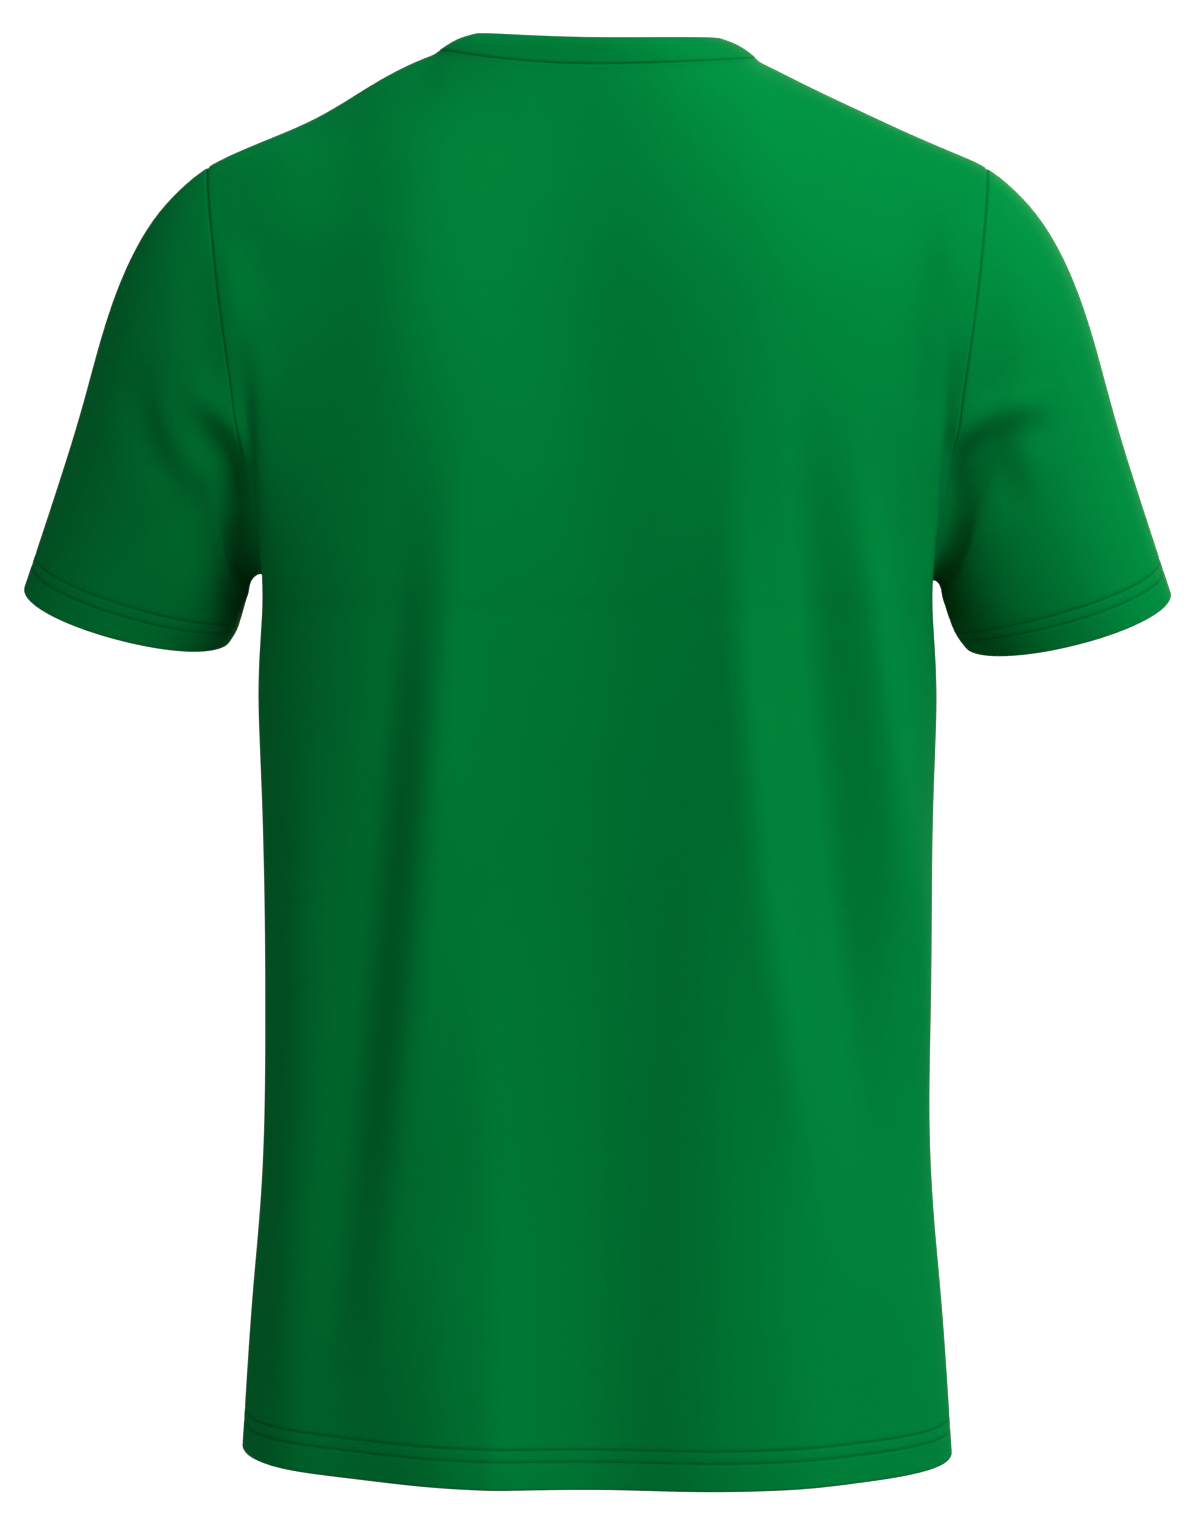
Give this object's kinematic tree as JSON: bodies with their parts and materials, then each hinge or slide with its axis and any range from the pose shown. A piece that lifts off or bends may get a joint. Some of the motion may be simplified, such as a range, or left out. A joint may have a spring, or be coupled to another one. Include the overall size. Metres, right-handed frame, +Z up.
{
  "type": "sports t-shirt",
  "caption": "Short-sleeved, round-necked sports t-shirt in plain knit, hollow and filled out as if worn, open at neck, hem and cuffs.",
  "frame": {"origin": "midway between the two neck points, where the shoulder seams meet the neckband, which is where the wearer's shoulders carry the shirt", "axes": "+Z up, +Y towards the wearer's front, -Y towards the wearer's back, +X towards the wearer's right"},
  "size_m": [0.6019, 0.2538, 0.7331],
  "materials": {
    "shirt_knit": "matt fine jersey knit, mid green",
    "neckband_knit": "matt fine knit, folded double, mid green"
  },
  "bodies": {
    "root": {"back_panel": "shirt_knit", "front_panel": "shirt_knit", "sleeve_left": "shirt_knit", "sleeve_right": "shirt_knit", "neckband": "neckband_knit"}
  },
  "joints": []
}
